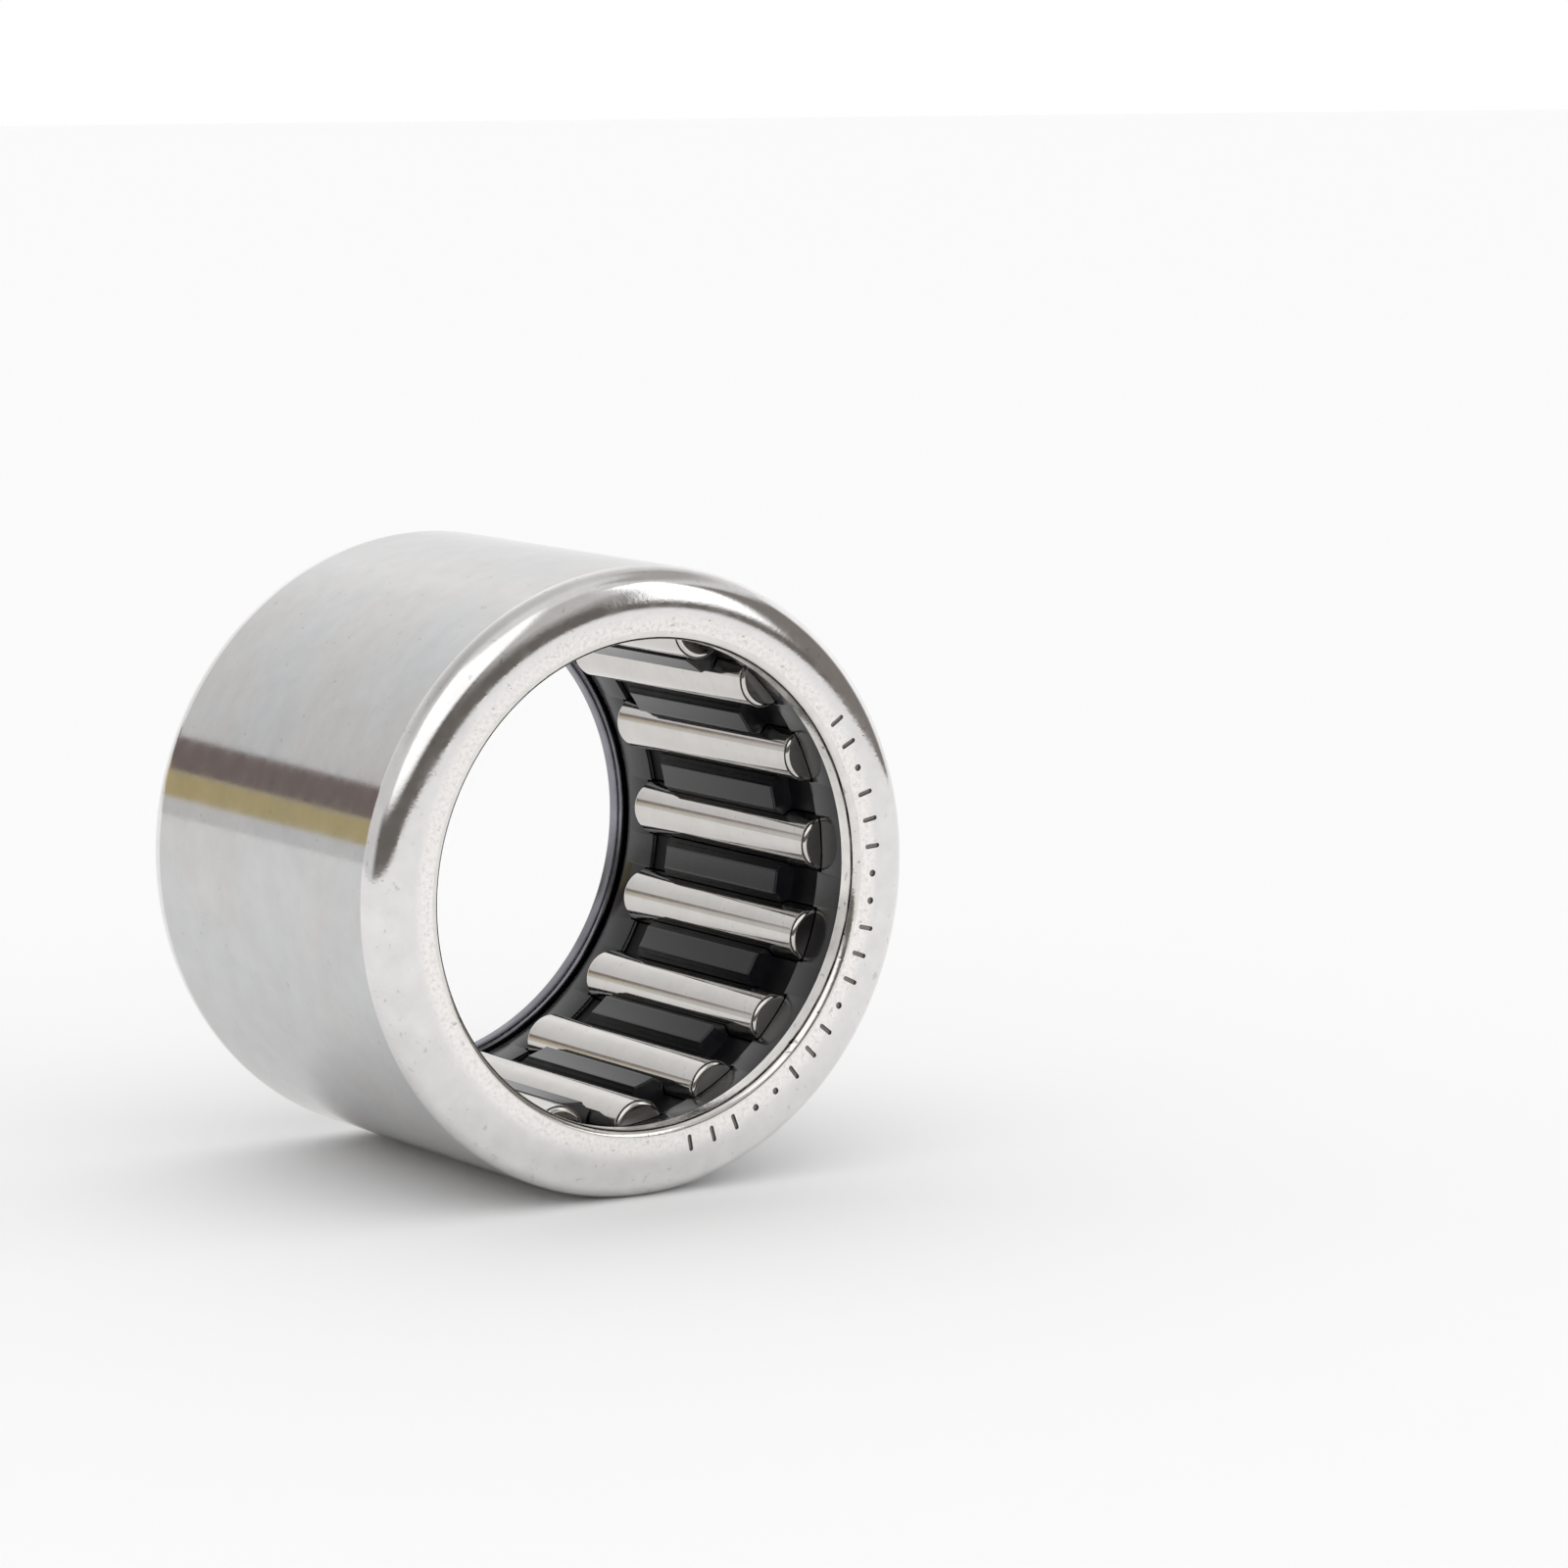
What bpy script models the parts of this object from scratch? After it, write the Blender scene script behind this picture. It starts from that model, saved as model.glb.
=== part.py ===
"""Open-ended drawn-cup needle roller bearing, 20 mm bore x 27 mm outside x 20 mm wide.

The bearing axis is world Y, with the marked face of the cup towards -Y, and +Z is up.
The origin is the centre of the bearing. A cup of pressed steel carries a moulded cage and
a full ring of needle rollers, each in a pocket of its own.
"""

import bmesh
import bpy
from math import cos, pi, radians, sin
from mathutils import Vector

MM = 0.001
FULL_TURN = 2 * pi

# Driving dimensions of the bearing (mm).
OUTSIDE_DIAMETER = 27.0
WIDTH = 20.0
BORE_UNDER_ROLLERS = 20.0
ROLLER_DIAMETER = 2.5
ROLLER_COUNT = 17
RADIAL_CLEARANCE = 0.03

# Drawn cup (mm).
FRONT_LIP_THICKNESS = 1.0
FRONT_LIP_BORE_DIAMETER = 20.9
FRONT_LIP_EDGE_RADIUS = 0.4
REAR_LIP_THICKNESS = 0.7
REAR_LIP_BORE_DIAMETER = 21.3
REAR_LIP_EDGE_RADIUS = 0.3
FRONT_CORNER_RADIUS = 1.4
REAR_CORNER_RADIUS = 1.8
INSIDE_CORNER_RADIUS = 0.5
CUP_FACETS = 80

# Rollers (mm).
ROLLER_LENGTH = 13.6
ROLLER_EDGE = 0.15
ROLLER_FACETS = 24
FIRST_ROLLER_ANGLE = radians(45.0)

# Moulded cage (mm).
CAGE_LENGTH = 17.5
CAGE_OUTSIDE_DIAMETER = 24.5
RING_BORE_DIAMETER = 21.9
PAD_BORE_DIAMETER = 20.4
PAD_LENGTH = 9.5
PAD_ROUNDING = 0.3
RECESS_BORE_DIAMETER = 22.3
RECESS_END = 6.45
CAGE_FACETS = 6 * ROLLER_COUNT

# Roller pocket (mm). Half widths, and depths measured inwards from the roller centre.
POCKET_LENGTH = 13.9
POCKET_MOUTH = 1.29
POCKET_NECK = 1.085
POCKET_HIP = 1.24
POCKET_HALF_WIDTH = 1.31
MOUTH_DEPTH = 1.75
THROAT_DEPTH = 1.0
NECK_DEPTH = 0.7
HIP_DEPTH = 0.4
WALL_DEPTH = 0.1
CUTTER_OVERRUN = 0.6

PITCH_RADIUS = (BORE_UNDER_ROLLERS + ROLLER_DIAMETER) / 2
RACEWAY_RADIUS = BORE_UNDER_ROLLERS / 2 + ROLLER_DIAMETER + RADIAL_CLEARANCE
ROLLER_PITCH = FULL_TURN / ROLLER_COUNT

PART_COLLECTION = "needle_roller_bearing"
CUTTER_COLLECTION = "pocket_cutters"


def clear_scene():
    for existing in list(bpy.data.objects):
        bpy.data.objects.remove(existing, do_unlink=True)


def add_collection(name):
    collection = bpy.data.collections.new(name)
    bpy.context.scene.collection.children.link(collection)
    return collection


def add_material(name, colour, roughness, metallic):
    material = bpy.data.materials.new(name)
    material.use_nodes = True
    shader = material.node_tree.nodes["Principled BSDF"]
    shader.inputs["Base Color"].default_value = (*colour, 1.0)
    shader.inputs["Roughness"].default_value = roughness
    shader.inputs["Metallic"].default_value = metallic
    material.diffuse_color = (*colour, 1.0)
    return material


def arc(centre_radius, centre_y, radius, start, end, steps):
    """Points (r, y) of an arc about a centre, from the angle start to the angle end."""
    points = []
    for step in range(steps + 1):
        angle = start + (end - start) * step / steps
        points.append((centre_radius + radius * cos(angle), centre_y + radius * sin(angle)))
    return points


def turned(name, profile, facets, closed, collection):
    """Turns a profile of (r, y) points in mm about the Y axis, with one facet facing -Z."""
    mesh = bpy.data.meshes.new(name)
    builder = bmesh.new()
    corners = [builder.verts.new((r * MM, y * MM, 0.0)) for r, y in profile]
    for first, second in zip(corners, corners[1:]):
        builder.edges.new((first, second))
    if closed:
        builder.edges.new((corners[-1], corners[0]))
    builder.to_mesh(mesh)
    builder.free()
    shape = bpy.data.objects.new(name, mesh)
    collection.objects.link(shape)
    screw = shape.modifiers.new("turn", "SCREW")
    screw.axis = "Y"
    screw.angle = FULL_TURN
    screw.steps = facets
    screw.render_steps = facets
    screw.use_merge_vertices = True
    screw.merge_threshold = 1e-6
    screw.use_normal_calculate = True
    return shape


def apply_modifiers(shape):
    """Swaps an object's mesh for its evaluated mesh, so that later steps can work on it."""
    evaluated = shape.evaluated_get(bpy.context.evaluated_depsgraph_get())
    finished = bpy.data.meshes.new_from_object(evaluated)
    shape.modifiers.clear()
    shape.data = finished


def shade_round(shape, sharp_angle):
    shape.data.shade_smooth()
    shape.data.set_sharp_from_angle(angle=sharp_angle)


def face_outwards(shape):
    """Recalculates the face directions of a closed mesh so that they all point out."""
    builder = bmesh.new()
    builder.from_mesh(shape.data)
    bmesh.ops.recalc_face_normals(builder, faces=builder.faces)
    builder.to_mesh(shape.data)
    builder.free()


def cup_profile():
    """Cross-section of the cup: outside wall, two pressed lips and the raceway between them."""
    outside = OUTSIDE_DIAMETER / 2
    half = WIDTH / 2
    front_bore = FRONT_LIP_BORE_DIAMETER / 2
    rear_bore = REAR_LIP_BORE_DIAMETER / 2
    front_inside = half - FRONT_LIP_THICKNESS
    rear_inside = half - REAR_LIP_THICKNESS
    front, rear = FRONT_CORNER_RADIUS, REAR_CORNER_RADIUS
    front_edge, rear_edge = FRONT_LIP_EDGE_RADIUS, REAR_LIP_EDGE_RADIUS
    quarter = pi / 2
    corner = INSIDE_CORNER_RADIUS
    profile = arc(outside - rear, half - rear, rear, quarter, 0, 4)
    profile += arc(outside - front, front - half, front, 0, -quarter, 4)
    profile += arc(front_bore + front_edge, front_edge - half, front_edge, -quarter, -2 * quarter, 2)
    profile += [(front_bore, -front_inside)]
    profile += arc(RACEWAY_RADIUS - corner, corner - front_inside, corner, -quarter, 0, 2)
    profile += arc(RACEWAY_RADIUS - corner, rear_inside - corner, corner, 0, quarter, 2)
    profile += [(rear_bore, rear_inside)]
    profile += arc(rear_bore + rear_edge, half - rear_edge, rear_edge, 2 * quarter, quarter, 2)
    return profile


def add_cup(collection, material):
    # The facets are drawn round the true circles, so that the flats keep the real diameters.
    round_up = 1 / cos(pi / CUP_FACETS)
    profile = [(r * round_up, y) for r, y in cup_profile()]
    cup = turned("outer_cup", profile, CUP_FACETS, True, collection)
    apply_modifiers(cup)
    face_outwards(cup)
    cup.rotation_euler = (0.0, pi / CUP_FACETS, 0.0)
    shade_round(cup, radians(30))
    cup.data.materials.append(material)
    return cup


def roller_profile():
    radius = ROLLER_DIAMETER / 2
    half = ROLLER_LENGTH / 2
    return [
        (0.0, half),
        (radius - ROLLER_EDGE, half),
        (radius, half - ROLLER_EDGE),
        (radius, ROLLER_EDGE - half),
        (radius - ROLLER_EDGE, -half),
        (0.0, -half),
    ]


def add_rollers(collection, material):
    """One needle roller for each pocket. The copies share one mesh."""
    pattern = turned("roller_pattern", roller_profile(), ROLLER_FACETS, False, collection)
    apply_modifiers(pattern)
    face_outwards(pattern)
    shade_round(pattern, radians(30))
    pattern.data.materials.append(material)
    for index in range(ROLLER_COUNT):
        angle = FIRST_ROLLER_ANGLE - index * ROLLER_PITCH
        roller = bpy.data.objects.new(f"roller_{index + 1:02d}", pattern.data)
        roller.location = Vector((cos(angle), 0.0, sin(angle))) * PITCH_RADIUS * MM
        collection.objects.link(roller)
    bpy.data.objects.remove(pattern, do_unlink=True)


def cage_profile():
    """Cross-section of the cage before its pockets are cut: end rings, recesses and pads."""
    outside = CAGE_OUTSIDE_DIAMETER / 2
    half = CAGE_LENGTH / 2
    ring = RING_BORE_DIAMETER / 2
    recess = RECESS_BORE_DIAMETER / 2
    pad = PAD_BORE_DIAMETER / 2
    pad_end = PAD_LENGTH / 2
    rounding = PAD_ROUNDING
    profile = [(outside, half), (outside, -half), (ring, -half), (ring, -RECESS_END)]
    profile += [(recess, -RECESS_END), (recess, -pad_end)]
    profile += arc(pad + rounding, rounding - pad_end, rounding, -pi / 2, -pi, 2)
    profile += arc(pad + rounding, pad_end - rounding, rounding, pi, pi / 2, 2)
    profile += [(recess, pad_end), (recess, RECESS_END), (ring, RECESS_END), (ring, half)]
    return profile


def pocket_section():
    """Half outline of a pocket, as (half width, distance from the bearing axis)."""
    return [
        (POCKET_MOUTH, PITCH_RADIUS - MOUTH_DEPTH),
        (POCKET_MOUTH, PITCH_RADIUS - THROAT_DEPTH),
        (POCKET_NECK, PITCH_RADIUS - NECK_DEPTH),
        (POCKET_HIP, PITCH_RADIUS - HIP_DEPTH),
        (POCKET_HALF_WIDTH, PITCH_RADIUS - WALL_DEPTH),
        (POCKET_HALF_WIDTH, CAGE_OUTSIDE_DIAMETER / 2 + CUTTER_OVERRUN),
    ]


def add_pocket_cutter(index, collection):
    """A prism along the bearing axis that opens one pocket, with a neck that holds the roller."""
    half = POCKET_LENGTH / 2 * MM
    section = pocket_section()
    outline = section + [(-across, radius) for across, radius in reversed(section)]
    angle = FIRST_ROLLER_ANGLE - index * ROLLER_PITCH
    outward = Vector((cos(angle), 0.0, sin(angle)))
    across_axis = Vector((-sin(angle), 0.0, cos(angle)))
    builder = bmesh.new()
    ring = []
    for across, radius in outline:
        place = (across_axis * across + outward * radius) * MM
        ring.append(builder.verts.new((place.x, -half, place.z)))
    base = builder.faces.new(ring)
    extruded = bmesh.ops.extrude_face_region(builder, geom=[base])
    far_side = [item for item in extruded["geom"] if isinstance(item, bmesh.types.BMVert)]
    bmesh.ops.translate(builder, verts=far_side, vec=(0.0, 2 * half, 0.0))
    bmesh.ops.recalc_face_normals(builder, faces=builder.faces)
    mesh = bpy.data.meshes.new(f"pocket_cutter_{index + 1:02d}")
    builder.to_mesh(mesh)
    builder.free()
    cutter = bpy.data.objects.new(mesh.name, mesh)
    cutter.hide_render = True
    cutter.display_type = "WIRE"
    collection.objects.link(cutter)
    return cutter


def add_cage(collection, cutters, material):
    cage = turned("cage", cage_profile(), CAGE_FACETS, True, collection)
    # A facet corner lies at the angle of each roller, so that every pocket is cut alike.
    cage.rotation_euler = (0.0, -FIRST_ROLLER_ANGLE, 0.0)
    for index in range(ROLLER_COUNT):
        add_pocket_cutter(index, cutters)
    cut = cage.modifiers.new("pockets", "BOOLEAN")
    cut.operation = "DIFFERENCE"
    cut.operand_type = "COLLECTION"
    cut.collection = cutters
    cut.solver = "EXACT"
    cage.data.materials.append(material)
    return cage


def main():
    clear_scene()
    bearing = add_collection(PART_COLLECTION)
    cutters = add_collection(CUTTER_COLLECTION)
    cutters.hide_render = True
    cup_steel = add_material("satin_steel", (0.62, 0.61, 0.60), 0.35, 1.0)
    roller_steel = add_material("polished_steel", (0.74, 0.72, 0.70), 0.12, 1.0)
    moulded_black = add_material("black_moulding", (0.025, 0.025, 0.03), 0.3, 0.0)
    add_cup(bearing, cup_steel)
    add_cage(bearing, cutters, moulded_black)
    add_rollers(bearing, roller_steel)


main()
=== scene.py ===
"""Looks of a drawn-cup needle roller bearing: pressed steel cup, black moulded cage, needle rollers.

The bearing axis is world Y, the marked face looks towards -Y, and the bearing lies on its outside.
Sizes are in millimetres and are turned into metres where a mesh is made.
"""

from math import atan2, cos, pi, radians, sin

import bmesh
import bpy
from mathutils import Matrix, Vector


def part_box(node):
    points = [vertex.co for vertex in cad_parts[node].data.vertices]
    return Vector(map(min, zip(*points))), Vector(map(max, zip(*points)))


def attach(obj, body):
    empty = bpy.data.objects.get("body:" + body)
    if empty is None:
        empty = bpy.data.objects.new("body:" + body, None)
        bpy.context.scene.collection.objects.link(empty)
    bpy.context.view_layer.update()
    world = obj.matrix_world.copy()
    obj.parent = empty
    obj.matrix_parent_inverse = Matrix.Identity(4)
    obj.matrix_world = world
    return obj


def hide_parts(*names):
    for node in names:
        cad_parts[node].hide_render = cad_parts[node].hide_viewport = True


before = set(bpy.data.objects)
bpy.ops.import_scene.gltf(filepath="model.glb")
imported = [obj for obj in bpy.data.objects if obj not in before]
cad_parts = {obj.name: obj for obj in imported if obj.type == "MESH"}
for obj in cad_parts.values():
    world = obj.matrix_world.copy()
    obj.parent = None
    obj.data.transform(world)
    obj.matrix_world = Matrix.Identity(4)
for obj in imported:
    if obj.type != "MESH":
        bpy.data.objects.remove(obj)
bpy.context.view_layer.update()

MM = 0.001
FULL_TURN = 2 * pi
QUARTER_TURN = pi / 2
SAME_POINT = 1e-4
ON_AXIS = 1e-6

# Cup profile.
OUTSIDE_RADIUS = 13.5
HALF_WIDTH = 10.0
RACEWAY_RADIUS = 12.53
INSIDE_CORNER = 0.5
FRONT_CORNER = 1.174
FRONT_SHOULDER = 4.4
REAR_CORNER = 1.5
REAR_SHOULDER = 3.0
CORNER_SWEEP = radians(76)
SHOULDER_SWEEP = radians(88)
FRONT_LIP_THICKNESS = 1.0
FRONT_LIP_BORE = 10.45
FRONT_LIP_EDGE = 0.34
FROSTED_TO = 11.25
LIP_OUTSIDE = 11.8
FRONT_INSIDE_EDGE = 0.06
REAR_LIP_THICKNESS = 0.95
REAR_LIP_BORE = 10.66
REAR_LIP_EDGE = 0.3
CUP_SHARP = radians(9)

# Widths of the narrow faces that keep a flat looking flat beside a rounded edge.
EDGE_SUPPORT = 0.02
SHOULDER_SUPPORT = 0.01
ROLLER_SUPPORT = 0.05

# Faces round each curve of the cup.
CUP_STEPS = 256
CORNER_STEPS = 20
SHOULDER_STEPS = 12
FRONT_EDGE_STEPS = 12
REAR_EDGE_STEPS = 8
INSIDE_EDGE_STEPS = 4
INSIDE_CORNER_STEPS = 6
MARK_STEPS = 8

# Marks pressed into the front lip: bars and dots, as angles in degrees from +X towards +Z.
MARK_ANGLES = range(34, -82, -6)
MARK_PATTERN = "||.|||..|"
MARK_RADIUS = 11.42
MARK_DEPTH = 0.09
MARK_OVERRUN = 0.3
BAR_LENGTH = 0.74
BAR_WIDTH = 0.2
DOT_LENGTH = 0.31
DOT_WIDTH = 0.3

# Rollers.
PITCH_RADIUS = 11.25
ROLLER_RADIUS = 1.25
ROLLER_HALF = 6.8
ROLLER_ROUNDING = 0.21
ROLLER_STEPS = 64
ROLLER_EDGE_STEPS = 8
ROLLER_SHARP = radians(60)
ROLLER_COUNT = 17
ROLLERS = [f"roller_{index + 1:02d}" for index in range(ROLLER_COUNT)]

# Cage.
CAGE_HALF = 8.75
CAGE_OUTSIDE = 12.25
CAGE_ROUNDING = 0.15
RING_BORE = 10.95
RING_BEVEL = 0.1
RECESS_BORE = 11.15
RECESS_END = 6.45
PAD_BORE = 10.2
PAD_FRONT = 4.5
PAD_REAR = 4.75
PAD_SLOPE = 0.5
PAD_FRONT_ROUNDING = 0.08
PAD_SLOPE_ROUNDING = 0.1
CAGE_STEPS = 18 * ROLLER_COUNT
CAGE_EDGE_STEPS = 3
PAD_EDGE_STEPS = 4
CAGE_SHARP = radians(35)
SOFTENED_EDGE = 0.035
SOFTENED_STEPS = 2
SOFTENED_FROM = radians(28)

# One side of a pocket, as (half width, height from the roller's centre): the mouth with its bevel,
# the neck that holds the roller in, and the wall that opens out past it.
POCKET_SIDE = [
    (1.36, -1.8),
    (1.36, -1.04),
    (1.24, -0.93),
    (1.22, -0.82),
    (1.085, -0.72),
    (1.085, -0.66),
    (1.24, -0.4),
    (1.31, -0.1),
]
POCKET_WALL = 1.31
POCKET_HALF = 6.86
POCKET_OVERRUN = 0.6

# Camera: where it stands round the bearing, and where the bearing sits in the picture.
CAMERA_AZIMUTH = radians(-32.08)
CAMERA_ELEVATION = radians(8.73)
CAMERA_DISTANCE = 0.25194
CAMERA_LENS = 132.49
CAMERA_NEAR = 0.005
CAMERA_FAR = 20.0
SENSOR_WIDTH = 36.0
BEARING_LEFT = 0.04465
BEARING_DOWN = 0.01243

# Floor and room, in metres and light levels.
FLOOR_HALF = 1.5
FLOOR_LEVEL = 0.93
ROOM_LEVEL = 0.53
BACKDROP_LEVEL = 1.0
BRIGHTEST = 2.0

# Studio light that shows in reflections, as (place, red, green, blue). The place is the sine of
# the height for the front and the back height, and the sideways part of the direction for the back.
FRONT_LIGHT = [
    (-1.0, 1.45, 1.43, 1.44),
    (-0.45, 1.4, 1.38, 1.38),
    (-0.2, 1.12, 1.1, 1.09),
    (-0.04, 1.36, 1.32, 1.28),
    (0.0, 0.16, 0.145, 0.13),
    (0.26, 0.15, 0.14, 0.13),
    (0.36, 0.7, 0.7, 0.7),
    (1.0, 0.82, 0.82, 0.82),
]
BACK_LIGHT = [
    (-0.6, 0.70, 0.70, 0.70),
    (0.0, 0.95, 0.95, 0.95),
    (0.3, 1.08, 1.08, 1.08),
    (0.5, 0.95, 0.95, 0.95),
    (0.65, 0.84, 0.84, 0.84),
    (1.0, 0.84, 0.84, 0.84),
]
BACK_HEIGHT = [(0.55, 2.0, 2.0, 2.0), (0.85, 1.3, 1.3, 1.3)]
HORIZON_BLEND = 0.15

# Boards and windows of the studio, as (azimuths, heights, softness, colour). Degrees from +X to +Y.
PATCHES = [
    ((-165, -80), (21, 64), 5.0, (1.35, 1.35, 1.35)),
    ((-79, -60), (12, 52), 5.0, (0.57, 0.56, 0.55)),
    ((-57, -45), (6, 40), 2.5, (1.8, 1.8, 1.8)),
    ((-43, 1), (-2, 31), 3.5, (0.235, 0.215, 0.20)),
    ((-43, 25), (42, 62), 6.0, (0.45, 0.44, 0.43)),
    ((9, 52), (2, 28), 4.0, (1.08, 1.08, 1.08)),
    ((108, 124), (7.9, 14.2), 0.5, (0.23, 0.185, 0.175)),
    ((108, 124), (3.0, 7.9), 0.5, (0.56, 0.47, 0.25)),
]

# Limits between which most of a noise texture lies.
NOISE_LOW = 0.3
NOISE_HIGH = 0.7

# Tones of the polished rolled corner, which the outer part of the lip fades into.
CORNER_DARK = (0.73, 0.715, 0.71)
CORNER_LIGHT = (0.81, 0.795, 0.79)


# ---------------------------------------------------------------- node trees


class Graph:
    """Short calls for building a node tree."""

    def __init__(self, tree):
        self.tree = tree

    def node(self, kind, **inputs):
        made = self.tree.nodes.new(kind)
        for name, value in inputs.items():
            self.feed(made.inputs[name.replace("_", " ")], value)
        return made

    def feed(self, socket, value):
        if isinstance(value, bpy.types.NodeSocket):
            self.tree.links.new(value, socket)
        else:
            socket.default_value = value

    def math(self, operation, *values):
        made = self.tree.nodes.new("ShaderNodeMath")
        made.operation = operation
        for socket, value in zip(made.inputs, values):
            self.feed(socket, value)
        return made.outputs["Value"]

    def range(self, value, low, high, to_low=0.0, to_high=1.0, smooth=False):
        made = self.node("ShaderNodeMapRange", Value=value, From_Min=low, From_Max=high)
        made.inputs["To Min"].default_value = to_low
        made.inputs["To Max"].default_value = to_high
        if smooth:
            made.interpolation_type = "SMOOTHSTEP"
        return made.outputs["Result"]

    def mix(self, factor, first, second, mode="MIX"):
        made = self.tree.nodes.new("ShaderNodeMix")
        made.data_type = "RGBA"
        made.blend_type = mode
        self.feed(made.inputs["Factor"], factor)
        self.feed(made.inputs["A"], first)
        self.feed(made.inputs["B"], second)
        return made.outputs["Result"]

    def ramp(self, factor, stops):
        """Colours along a factor, as (place, red, green, blue)."""
        made = self.node("ShaderNodeValToRGB", Fac=factor)
        elements = made.color_ramp.elements
        while len(elements) < len(stops):
            elements.new(1.0)
        for element, (place, *colour) in zip(elements, stops):
            element.position = place
            element.color = (*colour, 1.0)
        return made.outputs["Color"]


class Material(Graph):
    """A Principled material whose detail is placed in object space. Its scales are per metre."""

    def __init__(self, name, **values):
        self.material = bpy.data.materials.new(name)
        self.material.use_nodes = True
        super().__init__(self.material.node_tree)
        self.shader = self.tree.nodes["Principled BSDF"]
        self.place = self.tree.nodes.new("ShaderNodeTexCoord").outputs["Object"]
        for socket, value in values.items():
            self.feed(self.shader.inputs[socket.replace("_", " ")], value)

    def stretched(self, along, across):
        """Object space scaled by one value along the bearing axis and by another across it."""
        made = self.node("ShaderNodeMapping", Vector=self.place)
        made.inputs["Scale"].default_value = (across, along, across)
        return made.outputs["Vector"]

    def radius(self):
        """Distance from the bearing axis, in metres."""
        made = self.tree.nodes.new("ShaderNodeVectorMath")
        made.operation = "LENGTH"
        self.feed(made.inputs[0], self.stretched(along=0.0, across=1.0))
        return made.outputs["Value"]

    def noise(self, scale, detail=3.0, roughness=0.55, place=None):
        made = self.node("ShaderNodeTexNoise", Vector=place or self.place, Scale=scale)
        made.inputs["Detail"].default_value = detail
        made.inputs["Roughness"].default_value = roughness
        return made.outputs["Fac"]

    def clouds(self, scale):
        return self.noise(scale, detail=4.0, roughness=0.6)

    def grain(self, scale):
        return self.noise(scale, detail=2.0, roughness=0.6)

    def pits(self, scale, low, high, amount):
        """Scattered spots, which fade in between two limits of a noise up to an amount."""
        return self.range(self.noise(scale, detail=2.0, roughness=0.5), low, high, 0.0, amount)

    def tones(self, noise, dark, light):
        return self.ramp(noise, [(NOISE_LOW, *dark), (NOISE_HIGH, *light)])

    def uneven(self, noise, low, high):
        return self.range(noise, NOISE_LOW, NOISE_HIGH, low, high)

    def set(self, socket, value):
        self.feed(self.shader.inputs[socket], value)

    def bump(self, height, distance_mm):
        made = self.node("ShaderNodeBump", Height=height, Distance=distance_mm * MM)
        made.inputs["Strength"].default_value = 1.0
        self.set("Normal", made.outputs["Normal"])


# ---------------------------------------------------------------- materials


def steel(name, dark, light, roughness, bump_mm, mottle=700.0, grain=9000.0, pits=0.0):
    """Bare steel: cloudy tone, uneven polish, a fine surface texture and scattered pits."""
    made = Material(name, Metallic=1.0)
    tone = made.tones(made.clouds(mottle), dark, light)
    texture = made.grain(grain)
    pit = made.pits(scale=2600.0, low=0.66, high=0.74, amount=pits)
    made.set("Base Color", made.mix(pit, tone, (0.10, 0.09, 0.085, 1.0)))
    made.set("Roughness", made.uneven(made.noise(mottle * 1.7), *roughness))
    made.bump(made.math("SUBTRACT", texture, made.math("MULTIPLY", pit, 2.0)), bump_mm)
    return made.material


def outside_steel():
    """Satin outside of the cup, with faint scuffs that run round it."""
    made = Material("satin_steel", Metallic=1.0)
    clouds = made.clouds(700.0)
    warm = made.tones(clouds, dark=(0.560, 0.545, 0.535), light=(0.615, 0.600, 0.590))
    cool = made.tones(clouds, dark=(0.550, 0.552, 0.560), light=(0.600, 0.603, 0.610))
    tone = made.mix(made.range(made.noise(130.0, detail=2.0), 0.4, 0.6), cool, warm)
    round_the_cup = made.stretched(along=5.0, across=1.0)
    scuff_noise = made.noise(500.0, detail=5.0, roughness=0.7, place=round_the_cup)
    scuffs = made.range(scuff_noise, 0.62, 0.75, 0.0, 0.10)
    specks = made.pits(scale=2300.0, low=0.69, high=0.75, amount=0.22)
    made.set("Base Color", made.mix(made.math("ADD", scuffs, specks), tone, (0.22, 0.21, 0.20, 1.0)))
    made.set("Roughness", made.uneven(made.noise(1190.0), low=0.06, high=0.11))
    made.bump(made.grain(9000.0), distance_mm=0.0005)
    return made.material


def corner_steel():
    """Polished rolled corner, with a few small pits."""
    return steel(
        "rolled_corner",
        CORNER_DARK,
        CORNER_LIGHT,
        roughness=(0.06, 0.13),
        bump_mm=0.0018,
        mottle=900.0,
        grain=6000.0,
        pits=0.22,
    )


def lip_steel():
    """Frosted end face: pale, finely granular and pitted, and smoother towards the rolled corner."""
    made = Material("frosted_lip", Metallic=1.0)
    grain = made.noise(5200.0, detail=3.0, roughness=0.65)
    frost = [(0.34, 0.76, 0.735, 0.715), (0.48, 0.90, 0.87, 0.85), (0.7, 0.98, 0.955, 0.935)]
    frosted = made.ramp(grain, frost)
    smooth = made.tones(made.clouds(900.0), CORNER_DARK, CORNER_LIGHT)
    outward = made.range(made.radius(), FROSTED_TO * MM, LIP_OUTSIDE * MM, smooth=True)
    pit = made.pits(scale=2300.0, low=0.66, high=0.76, amount=1.0)
    made.set("Base Color", made.mix(pit, made.mix(outward, frosted, smooth), (0.6, 0.56, 0.53, 1.0)))
    made.set("Roughness", made.range(outward, 0.0, 1.0, to_low=0.21, to_high=0.11))
    depth = made.range(outward, 0.0, 1.0, to_low=1.0, to_high=0.12)
    made.bump(made.math("MULTIPLY", made.math("SUBTRACT", grain, pit), depth), distance_mm=0.008)
    return made.material


def edge_steel():
    """Rounded edge of the front lip and the inside of the cup."""
    return steel(
        "lip_edge",
        dark=(0.70, 0.68, 0.65),
        light=(0.82, 0.80, 0.765),
        roughness=(0.08, 0.2),
        bump_mm=0.004,
        mottle=900.0,
        grain=3600.0,
        pits=0.5,
    )


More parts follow.
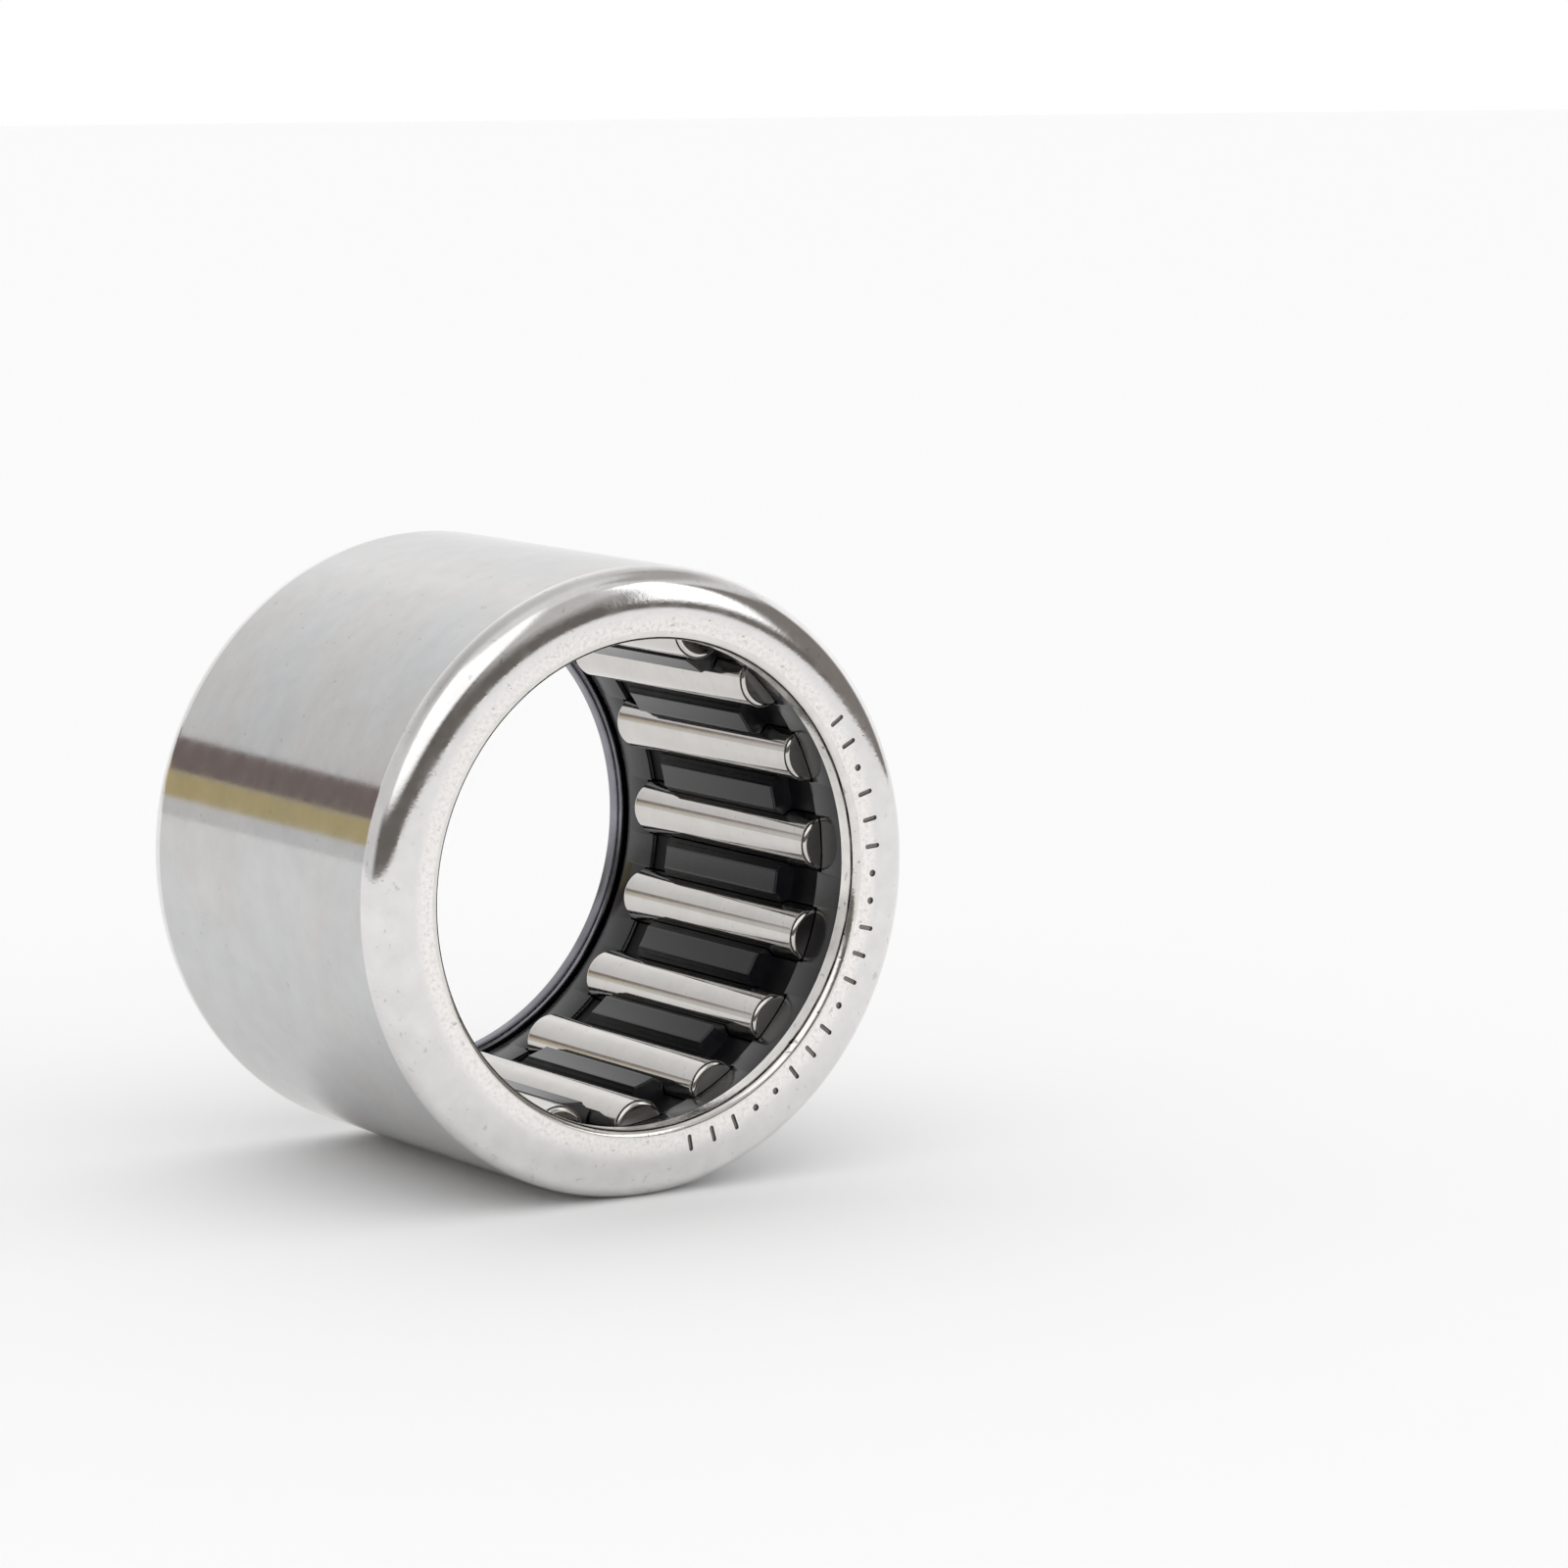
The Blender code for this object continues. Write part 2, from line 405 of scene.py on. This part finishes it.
def rear_edge_painted_shade():
    """Rear lip edge and its inner face, painted dark and bluish: painted shade and a painted reflection of
    the black cage.
    """
    return steel(
        "rear_lip_edge_painted_shade",
        dark=(0.20, 0.20, 0.225),
        light=(0.27, 0.27, 0.30),
        roughness=(0.16, 0.26),
        bump_mm=0.001,
    )


def mark_steel():
    """Dark steel inside the pressed marks."""
    return steel(
        "pressed_mark",
        dark=(0.16, 0.145, 0.135),
        light=(0.30, 0.28, 0.265),
        roughness=(0.3, 0.45),
        bump_mm=0.004,
    )


def roller_steel():
    """Ground and polished roller."""
    return steel(
        "needle_steel",
        dark=(0.60, 0.58, 0.555),
        light=(0.655, 0.635, 0.61),
        roughness=(0.08, 0.12),
        bump_mm=0.0004,
        pits=0.12,
    )


def cage_black():
    """Glossy black moulding with a slight flow in its surface."""
    made = Material("black_moulding")
    flow = made.noise(450.0)
    made.set("Base Color", made.tones(flow, dark=(0.006, 0.006, 0.008), light=(0.013, 0.013, 0.016)))
    made.set("Roughness", made.uneven(flow, low=0.13, high=0.22))
    made.bump(made.noise(1400.0, detail=2.0), distance_mm=0.0025)
    return made.material


def recess_painted_shade():
    """Painted shade inside the pockets and recesses of the moulding: the same black made darker and duller
    there.
    """
    made = Material("black_recess_painted_shade", Specular_IOR_Level=0.12)
    flow = made.noise(900.0)
    made.set("Base Color", made.tones(flow, dark=(0.004, 0.004, 0.005), light=(0.009, 0.009, 0.011)))
    made.set("Roughness", made.uneven(flow, low=0.35, high=0.5))
    made.bump(made.noise(2200.0, detail=2.0), distance_mm=0.003)
    return made.material


# ---------------------------------------------------------------- shapes


def mesh_object(name, mesh):
    piece = bpy.data.objects.new(name, mesh)
    bpy.context.scene.collection.objects.link(piece)
    return piece


def mesh_from(builder, name):
    mesh = bpy.data.meshes.new(name)
    builder.to_mesh(mesh)
    builder.free()
    return mesh


def arc(centre_radius, centre_y, radius, start, end, steps):
    """Points (r, y) of an arc about a centre, from the angle start to the angle end."""
    turns = [start + (end - start) * step / steps for step in range(steps + 1)]
    return [(centre_radius + radius * cos(a), centre_y + radius * sin(a)) for a in turns]


def same(first, second):
    return (Vector(first) - Vector(second)).length < SAME_POINT


def joined(zones, closed):
    """The points of all the zones and the slot of each, leaving out any that repeats the last."""
    points, slots = [], []
    for slot, zone in zones:
        for point in zone:
            if points and same(point, points[-1]):
                continue
            points.append(point)
            slots.append(slot)
    if closed and same(points[0], points[-1]):
        points.pop()
        slots.pop()
    return points, slots


def revolve(name, zones, steps, closed):
    """Turns (r, y) zones about Y. Each zone is (material slot, points), and follows the one before."""
    builder = bmesh.new()
    points, slots = joined(zones, closed)
    turns = [FULL_TURN * step / steps for step in range(steps)]
    rings = []
    for r, y in points:
        round_ring = turns if r > ON_AXIS else turns[:1]
        rings.append([builder.verts.new((r * cos(a) * MM, y * MM, r * sin(a) * MM)) for a in round_ring])
    pairs = list(zip(range(len(rings)), range(1, len(rings))))
    if closed:
        pairs.append((len(rings) - 1, 0))
    for first, second in pairs:
        near, far = rings[first], rings[second]
        for step in range(steps):
            ahead = (step + 1) % steps
            corners = [near[step % len(near)], near[ahead % len(near)]]
            corners += [far[ahead % len(far)], far[step % len(far)]]
            face = builder.faces.new(list(dict.fromkeys(corners)))
            face.smooth = True
            face.material_index = slots[second]
    bmesh.ops.recalc_face_normals(builder, faces=builder.faces)
    return mesh_from(builder, name)


def prism(name, outline, angle, y_low, y_high, slot):
    """A closed prism along Y, from an outline of (across, distance from the axis) at an angle."""
    outward = Vector((cos(angle), 0.0, sin(angle)))
    across_axis = Vector((-sin(angle), 0.0, cos(angle)))
    builder = bmesh.new()
    ring = []
    for across, radius in outline:
        place = (across_axis * across + outward * radius) * MM
        ring.append(builder.verts.new((place.x, y_low * MM, place.z)))
    made = bmesh.ops.extrude_face_region(builder, geom=[builder.faces.new(ring)])
    moved = [item for item in made["geom"] if isinstance(item, bmesh.types.BMVert)]
    bmesh.ops.translate(builder, verts=moved, vec=(0.0, (y_high - y_low) * MM, 0.0))
    bmesh.ops.recalc_face_normals(builder, faces=builder.faces)
    for face in builder.faces:
        face.material_index = slot
    return mesh_object(name, mesh_from(builder, name))


def cut_away(piece, cutters, softening=0.0):
    """Cuts the cutters out of a piece, softens the edges if asked, and removes the cutters."""
    box = bpy.data.collections.new("cutters")
    bpy.context.scene.collection.children.link(box)
    for cutter in cutters:
        bpy.context.scene.collection.objects.unlink(cutter)
        box.objects.link(cutter)
    cut = piece.modifiers.new("cut", "BOOLEAN")
    cut.operation = "DIFFERENCE"
    cut.operand_type = "COLLECTION"
    cut.collection = box
    cut.solver = "EXACT"
    if softening:
        soften = piece.modifiers.new("soften", "BEVEL")
        soften.width = softening * MM
        soften.segments = SOFTENED_STEPS
        soften.limit_method = "ANGLE"
        soften.angle_limit = SOFTENED_FROM
        soften.use_clamp_overlap = True
    bpy.context.view_layer.update()
    evaluated = piece.evaluated_get(bpy.context.evaluated_depsgraph_get())
    finished = bpy.data.meshes.new_from_object(evaluated)
    piece.modifiers.clear()
    piece.data = finished
    for cutter in cutters:
        bpy.data.objects.remove(cutter, do_unlink=True)
    bpy.data.collections.remove(box)


# ---------------------------------------------------------------- cup


def rolled_corner(corner, shoulder):
    """Points (r, distance from the end face) of a rolled corner: a tight arc, then a flat shoulder."""
    depth = corner * sin(CORNER_SWEEP) + shoulder * (sin(SHOULDER_SWEEP) - sin(CORNER_SWEEP))
    points = arc(OUTSIDE_RADIUS - corner, depth, corner, 0, -CORNER_SWEEP, CORNER_STEPS)
    centre = points[-1][0] - shoulder * cos(CORNER_SWEEP)
    reach = points[-1][1] + shoulder * sin(CORNER_SWEEP)
    return points + arc(centre, reach, shoulder, -CORNER_SWEEP, -SHOULDER_SWEEP, SHOULDER_STEPS)


# Material slots of the cup, in order. The rear edge slot carries painted shade and a painted reflection of
# the black cage.
OUTSIDE, CORNER, LIP, LIP_EDGE, REAR_EDGE, MARK = range(6)


def cup_zones():
    """Cup cross-section as (material slot, points), once round from the rear corner."""
    quarter = QUARTER_TURN
    front = [(r, y - HALF_WIDTH) for r, y in rolled_corner(FRONT_CORNER, FRONT_SHOULDER)]
    rear = [(r, HALF_WIDTH - y) for r, y in reversed(rolled_corner(REAR_CORNER, REAR_SHOULDER))]
    front_inside = HALF_WIDTH - FRONT_LIP_THICKNESS
    rear_inside = HALF_WIDTH - REAR_LIP_THICKNESS
    edge, inner, back = FRONT_LIP_EDGE, FRONT_INSIDE_EDGE, REAR_LIP_EDGE

    edge_centre = FRONT_LIP_BORE + edge
    front_edge = arc(edge_centre, edge - HALF_WIDTH, edge, -quarter, -pi, FRONT_EDGE_STEPS)
    inner_centre = FRONT_LIP_BORE + inner
    front_back = arc(inner_centre, -front_inside - inner, inner, pi, quarter, INSIDE_EDGE_STEPS)

    fillet, steps = INSIDE_CORNER, INSIDE_CORNER_STEPS
    hollow = arc(RACEWAY_RADIUS - fillet, fillet - front_inside, fillet, -quarter, 0, steps)
    hollow += arc(RACEWAY_RADIUS - fillet, rear_inside - fillet, fillet, 0, quarter, steps)

    back_centre, steps = REAR_LIP_BORE + back, REAR_EDGE_STEPS
    rear_edge = arc(back_centre, rear_inside + back, back, -quarter, -pi, steps)
    rear_edge += arc(back_centre, HALF_WIDTH - back, back, pi, quarter, steps)

    lip = [point for point in front if point[0] <= LIP_OUTSIDE]
    lip.append((lip[-1][0] - SHOULDER_SUPPORT, -HALF_WIDTH))
    lip.append((front_edge[0][0] + EDGE_SUPPORT, -HALF_WIDTH))
    rear_lip = [(rear_edge[-1][0] + EDGE_SUPPORT, HALF_WIDTH)]
    rear_lip.append((rear[0][0] - SHOULDER_SUPPORT, HALF_WIDTH))
    body = [(OUTSIDE_RADIUS, rear[-1][1] - EDGE_SUPPORT)]
    body.append((OUTSIDE_RADIUS, front[0][1] + EDGE_SUPPORT))
    return [
        (CORNER, rear),
        (OUTSIDE, body),
        (CORNER, [point for point in front if point[0] > LIP_OUTSIDE]),
        (LIP, lip),
        (LIP_EDGE, front_edge),
        (LIP_EDGE, front_back),
        (LIP_EDGE, hollow),
        (REAR_EDGE, rear_edge),
        (LIP, rear_lip),
    ]


def rounded_slot(width, length):
    """Outline of a slot with round ends, as (across, distance from the axis), about MARK_RADIUS."""
    reach = (length - width) / 2
    outline = arc(0.0, MARK_RADIUS + reach, width / 2, 0, pi, MARK_STEPS)
    return outline + arc(0.0, MARK_RADIUS - reach, width / 2, pi, FULL_TURN, MARK_STEPS)


def mark_cutters():
    outlines = {"|": rounded_slot(BAR_WIDTH, BAR_LENGTH), ".": rounded_slot(DOT_WIDTH, DOT_LENGTH)}
    start = -HALF_WIDTH - MARK_OVERRUN
    floor = MARK_DEPTH - HALF_WIDTH
    cutters = []
    for index, degrees_up in enumerate(MARK_ANGLES):
        outline = outlines[MARK_PATTERN[index % len(MARK_PATTERN)]]
        cutters.append(prism("mark", outline, radians(degrees_up), start, floor, MARK))
    return cutters


def make_cup():
    cup = mesh_object("cup_shell", revolve("cup_shell", cup_zones(), CUP_STEPS, closed=True))
    slots = (outside_steel(), corner_steel(), lip_steel(), edge_steel(), rear_edge_painted_shade(), mark_steel())
    for made in slots:
        cup.data.materials.append(made)
    cut_away(cup, mark_cutters())
    cup.data.set_sharp_from_angle(angle=CUP_SHARP)
    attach(cup, "cup")
    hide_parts("outer_cup")


# ---------------------------------------------------------------- rollers


def roller_zones():
    """Half-section of a roller: flat ends and a quarter-round at each edge."""
    half, r, rounding = ROLLER_HALF, ROLLER_RADIUS, ROLLER_ROUNDING
    end = [(0.0, half), (r - rounding - ROLLER_SUPPORT, half)]
    end += arc(r - rounding, half - rounding, rounding, QUARTER_TURN, 0, ROLLER_EDGE_STEPS)
    end += [(r, half - rounding - ROLLER_SUPPORT)]
    return [(0, end), (0, [(x, -y) for x, y in reversed(end)])]


def roller_centre(node):
    low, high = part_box(node)
    return (low + high) / 2


def make_rollers():
    material = roller_steel()
    for node in ROLLERS:
        name = node.replace("roller", "needle")
        mesh = revolve(name, roller_zones(), ROLLER_STEPS, closed=False)
        mesh.set_sharp_from_angle(angle=ROLLER_SHARP)
        roller = mesh_object(name, mesh)
        roller.location = roller_centre(node)
        roller.data.materials.append(material)
        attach(roller, node)
        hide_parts(node)


# ---------------------------------------------------------------- cage


# Material slots of the cage, in order. The recess slot carries painted shade.
BLACK, RECESS = range(2)


def cage_zones():
    """Cage cross-section before its pockets are cut: end rings, recesses and sloped pads."""
    soft, quarter, end, steps = CAGE_ROUNDING, QUARTER_TURN, CAGE_HALF, CAGE_EDGE_STEPS
    outside = arc(CAGE_OUTSIDE - soft, end - soft, soft, quarter, 0, steps)
    outside += arc(CAGE_OUTSIDE - soft, soft - end, soft, 0, -quarter, steps)
    front_ring = arc(RING_BORE + soft, soft - end, soft, -quarter, -pi, steps)
    front_ring += [(RING_BORE, -RECESS_END - RING_BEVEL), (RING_BORE + RING_BEVEL, -RECESS_END)]
    front_recess = [(RECESS_BORE, -RECESS_END), (RECESS_BORE, -PAD_FRONT)]

    tight, wide = PAD_FRONT_ROUNDING, PAD_SLOPE_ROUNDING
    pad = arc(PAD_BORE + tight, tight - PAD_FRONT, tight, -quarter, -pi, PAD_EDGE_STEPS)
    slope_start = PAD_REAR - PAD_SLOPE - wide / 2
    pad += arc(PAD_BORE + wide, slope_start, wide, pi, 0.75 * pi, PAD_EDGE_STEPS)
    pad += [(PAD_BORE + PAD_SLOPE, PAD_REAR)]

    rear_recess = [(RECESS_BORE, PAD_REAR), (RECESS_BORE, RECESS_END)]
    rear_ring = [(RING_BORE + RING_BEVEL, RECESS_END), (RING_BORE, RECESS_END + RING_BEVEL)]
    rear_ring += arc(RING_BORE + soft, end - soft, soft, pi, quarter, steps)
    return [
        (BLACK, outside),
        (BLACK, front_ring),
        (RECESS, front_recess),
        (BLACK, pad),
        (RECESS, rear_recess),
        (BLACK, rear_ring),
    ]


def pocket_outline():
    """Outline of a pocket, as (across, distance from the bearing axis)."""
    half = [(across, PITCH_RADIUS + height) for across, height in POCKET_SIDE]
    half.append((POCKET_WALL, CAGE_OUTSIDE + POCKET_OVERRUN))
    return half + [(-across, radius) for across, radius in reversed(half)]


def make_cage():
    centres = [roller_centre(node) for node in ROLLERS]
    angles = [atan2(centre.z, centre.x) for centre in centres]
    mesh = revolve("moulded_cage", cage_zones(), CAGE_STEPS, closed=True)
    mesh.transform(Matrix.Rotation(-angles[0], 4, "Y"))
    cage = mesh_object("moulded_cage", mesh)
    for made in (cage_black(), recess_painted_shade()):
        cage.data.materials.append(made)
    outline = pocket_outline()
    # The pocket walls take the painted shade of the recesses.
    pockets = [prism("pocket", outline, angle, -POCKET_HALF, POCKET_HALF, RECESS) for angle in angles]
    cut_away(cage, pockets, SOFTENED_EDGE)
    cage.data.shade_smooth()
    cage.data.set_sharp_from_angle(angle=CAGE_SHARP)
    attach(cage, "cage")
    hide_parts("cage")


# ---------------------------------------------------------------- studio


def grey(level):
    return (level, level, level, 1.0)


def make_floor():
    builder = bmesh.new()
    bmesh.ops.create_grid(builder, x_segments=1, y_segments=1, size=FLOOR_HALF)
    floor = mesh_object("floor", mesh_from(builder, "floor"))
    floor.location.z = -OUTSIDE_RADIUS * MM
    paper = Material("pale_floor", Base_Color=grey(FLOOR_LEVEL), Roughness=0.9)
    floor.data.materials.append(paper.material)


class Studio(Graph):
    """World light: an even white room, and a detailed studio that shows only in reflections."""

    def __init__(self, world):
        super().__init__(world.node_tree)
        where = self.tree.nodes.new("ShaderNodeTexCoord").outputs["Generated"]
        self.across, self.ahead, self.up = self.node("ShaderNodeSeparateXYZ", Vector=where).outputs
        self.azimuth = self.math("ARCTAN2", self.ahead, self.across)
        self.height = self.math("ARCSINE", self.up)

    def gradient(self, value, stops):
        """Light levels along a value from -1 to 1. A ramp holds no more than 1, so they are scaled."""
        places = [((place + 1) / 2, *(level / BRIGHTEST for level in colour)) for place, *colour in stops]
        return self.ramp(self.range(value, -1.0, 1.0), places)

    def band(self, value, limits, softness):
        """1 where a value in radians is within limits in degrees, with soft ends."""
        low, high = limits
        rise = self.range(value, radians(low - softness), radians(low + softness), 0.0, 1.0, smooth=True)
        fall = self.range(value, radians(high - softness), radians(high + softness), 1.0, 0.0, smooth=True)
        return self.math("MULTIPLY", rise, fall)

    def patched(self, base):
        for azimuths, heights, softness, colour in PATCHES:
            across = self.band(self.azimuth, azimuths, softness)
            mask = self.math("MULTIPLY", across, self.band(self.height, heights, softness))
            base = self.mix(mask, base, (*(level / BRIGHTEST for level in colour), 1.0))
        return base

    def seen_in_reflections(self):
        front = self.gradient(self.up, FRONT_LIGHT)
        sideways = self.gradient(self.across, BACK_LIGHT)
        back = self.mix(1.0, sideways, self.gradient(self.up, BACK_HEIGHT), "MULTIPLY")
        return self.patched(self.mix(self.range(self.ahead, HORIZON_BLEND, -HORIZON_BLEND), back, front))


def make_world():
    world = bpy.data.worlds.new("studio")
    bpy.context.scene.world = world
    world.use_nodes = True
    studio = Studio(world)
    path = studio.tree.nodes.new("ShaderNodeLightPath").outputs
    lit = studio.mix(path["Is Diffuse Ray"], studio.seen_in_reflections(), grey(ROOM_LEVEL))
    backdrop = grey(BACKDROP_LEVEL / BRIGHTEST)
    background = studio.tree.nodes["Background"]
    studio.feed(background.inputs["Strength"], BRIGHTEST)
    studio.feed(background.inputs["Color"], studio.mix(path["Is Camera Ray"], lit, backdrop))


def make_camera():
    across, up = sin(CAMERA_AZIMUTH) * cos(CAMERA_ELEVATION), sin(CAMERA_ELEVATION)
    back = Vector((across, -cos(CAMERA_AZIMUTH) * cos(CAMERA_ELEVATION), up))
    look = (-back).to_track_quat("-Z", "Y").to_matrix()
    aim = Vector((-BEARING_LEFT, -BEARING_DOWN, -1.0)).normalized()
    turn = Vector((0.0, 0.0, -1.0)).rotation_difference(aim).to_matrix()
    camera = bpy.data.objects.new("camera", bpy.data.cameras.new("camera"))
    bpy.context.scene.collection.objects.link(camera)
    camera.data.lens = CAMERA_LENS
    camera.data.sensor_width = SENSOR_WIDTH
    camera.data.clip_start = CAMERA_NEAR
    camera.data.clip_end = CAMERA_FAR
    place = (look @ turn.transposed()).to_4x4()
    place.translation = back * CAMERA_DISTANCE
    camera.matrix_world = place
    bpy.context.scene.camera = camera


bpy.context.scene.view_settings.view_transform = "Standard"
make_cup()
make_cage()
make_rollers()
make_floor()
make_world()
make_camera()
